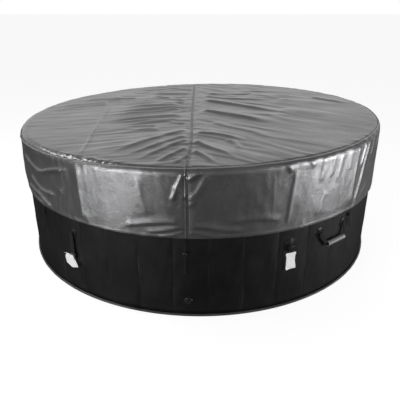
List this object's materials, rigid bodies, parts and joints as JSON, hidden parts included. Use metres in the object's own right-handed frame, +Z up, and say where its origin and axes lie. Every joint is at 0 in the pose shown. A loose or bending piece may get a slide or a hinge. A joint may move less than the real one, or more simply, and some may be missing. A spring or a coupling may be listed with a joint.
{
  "type": "inflatable hot tub",
  "caption": "Round inflatable hot tub with a buckled insulated lid, carry handles, hose ports, valves and a fitted grey weather cover over the top.",
  "frame": {"origin": "centre of the base sheet's underside, on the ground", "axes": "+Z up, -Y towards the front, where the drawcord hangs and the drain valve is, +X to the right seen from the front"},
  "size_m": [1.9617, 1.9913, 0.7079],
  "materials": {
    "wall_pvc": "embossed leather-grain PVC, satin",
    "liner_pvc": "smooth PVC, satin",
    "moulded_black": "moulded plastic, semi-gloss",
    "webbing": "woven polyester, matt",
    "cover_cloth": "silver-grey coated woven polyester, satin sheen",
    "tag_paper": "coated white film, blank"
  },
  "bodies": {
    "tub": {"base_sheet": "wall_pvc", "wall_outer_skin": "wall_pvc", "buckle_patch_1": "wall_pvc", "buckle_patch_2": "wall_pvc", "buckle_patch_3": "wall_pvc", "buckle_patch_4": "wall_pvc", "buckle_patch_5": "wall_pvc", "buckle_patch_6": "wall_pvc", "handle_patch_1_left": "wall_pvc", "handle_patch_1_right": "wall_pvc", "handle_patch_2_left": "wall_pvc", "handle_patch_2_right": "wall_pvc", "tub_floor": "liner_pvc", "air_jet_ring": "liner_pvc", "wall_inner_skin": "liner_pvc", "wall_top_sheet": "liner_pvc", "i_beam_webs": "liner_pvc", "drain_valve_body": "moulded_black", "air_valve_body": "moulded_black", "water_inlet_body": "moulded_black", "water_outlet_body": "moulded_black", "air_port_body": "moulded_black"},
    "lid": {"lid_top_sheet": "liner_pvc", "lid_skirt": "liner_pvc", "lid_bladder": "liner_pvc", "lid_clip_1": "webbing", "lid_clip_2": "webbing", "lid_clip_3": "webbing", "lid_clip_4": "webbing", "lid_clip_5": "webbing", "lid_clip_6": "webbing"},
    "cover": {"cover_top_left": "cover_cloth", "cover_top_right": "cover_cloth", "cover_skirt_left": "cover_cloth", "cover_skirt_right": "cover_cloth", "cover_piping": "cover_cloth", "drawcord_tail": "webbing", "tie_cord_1": "webbing", "tie_cord_2": "webbing", "tie_cord_3": "webbing", "tie_cord_4": "webbing"},
    "cord_lock": {"cord_lock_body": "moulded_black"},
    "lock_button": {"cord_lock_button": "moulded_black"},
    "right_tag": {"tag_right": "tag_paper"},
    "left_tag": {"tag_left": "tag_paper"},
    "buckle_1": {"wall_buckle_1": "moulded_black"},
    "buckle_2": {"wall_buckle_2": "moulded_black"},
    "buckle_3": {"wall_buckle_3": "moulded_black"},
    "buckle_4": {"wall_buckle_4": "moulded_black"},
    "buckle_5": {"wall_buckle_5": "moulded_black"},
    "buckle_6": {"wall_buckle_6": "moulded_black"},
    "handle_1": {"handle_strap_1": "webbing", "handle_grip_1": "moulded_black"},
    "handle_2": {"handle_strap_2": "webbing", "handle_grip_2": "moulded_black"},
    "drain_cap": {"drain_valve_cap": "moulded_black"},
    "air_valve_cap": {"air_valve_cap": "moulded_black"},
    "water_inlet_cap": {"water_inlet_cap": "moulded_black"},
    "water_outlet_cap": {"water_outlet_cap": "moulded_black"},
    "air_port_cap": {"air_port_cap": "moulded_black"}
  },
  "joints": [
    {"name": "lid_lift", "type": "slide", "parent": "tub", "child": "lid", "axis": [0, 0, 1], "range_m": [0, 0.5]},
    {"name": "cover_lift", "type": "slide", "parent": "lid", "child": "cover", "axis": [0, 0, 1], "range_m": [0, 0.5]},
    {"name": "cord_lock_slide", "type": "slide", "parent": "cover", "child": "cord_lock", "axis": [0, 0, 1], "range_m": [-0.07, 0.028]},
    {"name": "lock_button_press", "type": "slide", "parent": "cord_lock", "child": "lock_button", "axis": [-0.9978, 0.0663, 0], "range_m": [0, 0.0028], "stiffness_N_per_m": 200},
    {"name": "buckle_1_swing", "type": "hinge", "parent": "tub", "child": "buckle_1", "pos_m": [0.39134, -0.89574, 0.316], "axis": [-0.9164, -0.4003, 0], "range_deg": [0, 85]},
    {"name": "buckle_2_swing", "type": "hinge", "parent": "tub", "child": "buckle_2", "pos_m": [0.97141, -0.10896, 0.316], "axis": [-0.1115, -0.9938, 0], "range_deg": [0, 85]},
    {"name": "buckle_3_swing", "type": "hinge", "parent": "tub", "child": "buckle_3", "pos_m": [0.58007, 0.78678, 0.316], "axis": [0.8049, -0.5934, 0], "range_deg": [0, 85]},
    {"name": "buckle_4_swing", "type": "hinge", "parent": "tub", "child": "buckle_4", "pos_m": [-0.39134, 0.89574, 0.316], "axis": [0.9164, 0.4003, 0], "range_deg": [0, 85]},
    {"name": "buckle_5_swing", "type": "hinge", "parent": "tub", "child": "buckle_5", "pos_m": [-0.97141, 0.10896, 0.316], "axis": [0.1115, 0.9938, 0], "range_deg": [0, 85]},
    {"name": "buckle_6_swing", "type": "hinge", "parent": "tub", "child": "buckle_6", "pos_m": [-0.58007, -0.78678, 0.316], "axis": [-0.8049, 0.5934, 0], "range_deg": [0, 85]},
    {"name": "tag_right_swing", "type": "hinge", "parent": "buckle_1", "child": "right_tag", "pos_m": [0.39214, -0.89758, 0.276], "axis": [-0.9164, -0.4003, 0], "range_deg": [0, 60]},
    {"name": "tag_left_swing", "type": "hinge", "parent": "buckle_6", "child": "left_tag", "pos_m": [-0.58511, -0.79363, 0.204], "axis": [-0.8049, 0.5934, 0], "range_deg": [0, 60]},
    {"name": "handle_1_swing", "type": "hinge", "parent": "tub", "child": "handle_1", "pos_m": [0.60284, -0.76884, 0.331], "axis": [-0.7869, -0.617, 0], "range_deg": [0, 90]},
    {"name": "handle_2_swing", "type": "hinge", "parent": "tub", "child": "handle_2", "pos_m": [-0.60284, 0.76884, 0.331], "axis": [0.7869, 0.617, 0], "range_deg": [0, 90]},
    {"name": "drain_cap_turn", "type": "hinge", "parent": "tub", "child": "drain_cap", "pos_m": [-0.05139, -0.98065, 0.074], "axis": [-0.0523, -0.9986, 0], "range_deg": [0, 360]},
    {"name": "air_valve_cap_turn", "type": "hinge", "parent": "tub", "child": "air_valve_cap", "pos_m": [0.39942, 0.8971, 0.24], "axis": [0.4067, 0.9135, 0], "range_deg": [0, 360]},
    {"name": "water_inlet_cap_turn", "type": "hinge", "parent": "tub", "child": "water_inlet_cap", "pos_m": [0.13667, 0.97244, 0.12], "axis": [0.1392, 0.9903, 0], "range_deg": [0, 360]},
    {"name": "water_outlet_cap_turn", "type": "hinge", "parent": "tub", "child": "water_outlet_cap", "pos_m": [-0.13667, 0.97244, 0.12], "axis": [-0.1392, 0.9903, 0], "range_deg": [0, 360]},
    {"name": "air_port_cap_turn", "type": "hinge", "parent": "tub", "child": "air_port_cap", "pos_m": [0, 0.982, 0.29], "axis": [0, 1, 0], "range_deg": [0, 360]}
  ]
}
